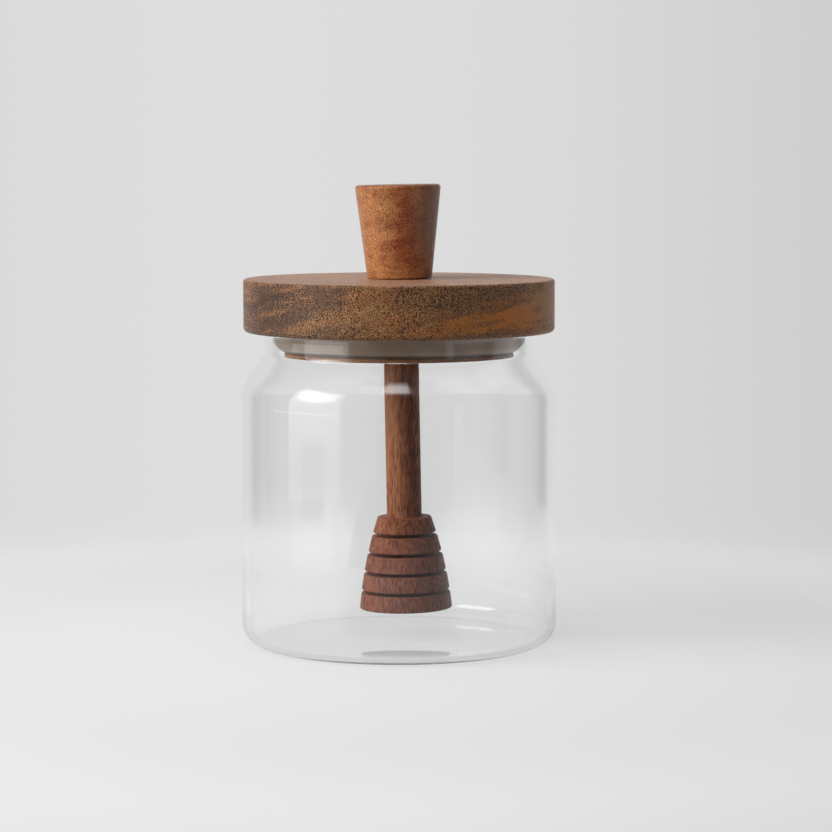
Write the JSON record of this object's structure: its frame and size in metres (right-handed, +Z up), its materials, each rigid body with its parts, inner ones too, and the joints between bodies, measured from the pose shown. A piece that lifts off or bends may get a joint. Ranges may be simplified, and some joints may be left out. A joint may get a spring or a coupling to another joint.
{
  "type": "honey jar",
  "caption": "Clear glass jar with a thick wooden lid, silicone seal, tapered knob and a ringed wooden honey dipper hanging inside it.",
  "frame": {"origin": "centre of the jar's flat foot, on the surface it stands on", "axes": "+Z up the jar's axis to the knob; +X to the right seen from the front, the way the dipper's foot leans; -Y to the front"},
  "size_m": [0.1, 0.1, 0.1462],
  "materials": {
    "clear_glass": "clear colourless blown glass, polished",
    "lid_wood": "oiled acacia, brown with darker and golden bands, satin",
    "silicone": "translucent grey-brown silicone, satin",
    "knob_wood": "oiled acacia, golden brown, satin",
    "dipper_wood": "plain reddish brown hardwood, matt"
  },
  "bodies": {
    "root": {"jar": "clear_glass", "lid": "lid_wood", "seal": "silicone", "knob": "knob_wood", "dipper": "dipper_wood"}
  },
  "joints": []
}
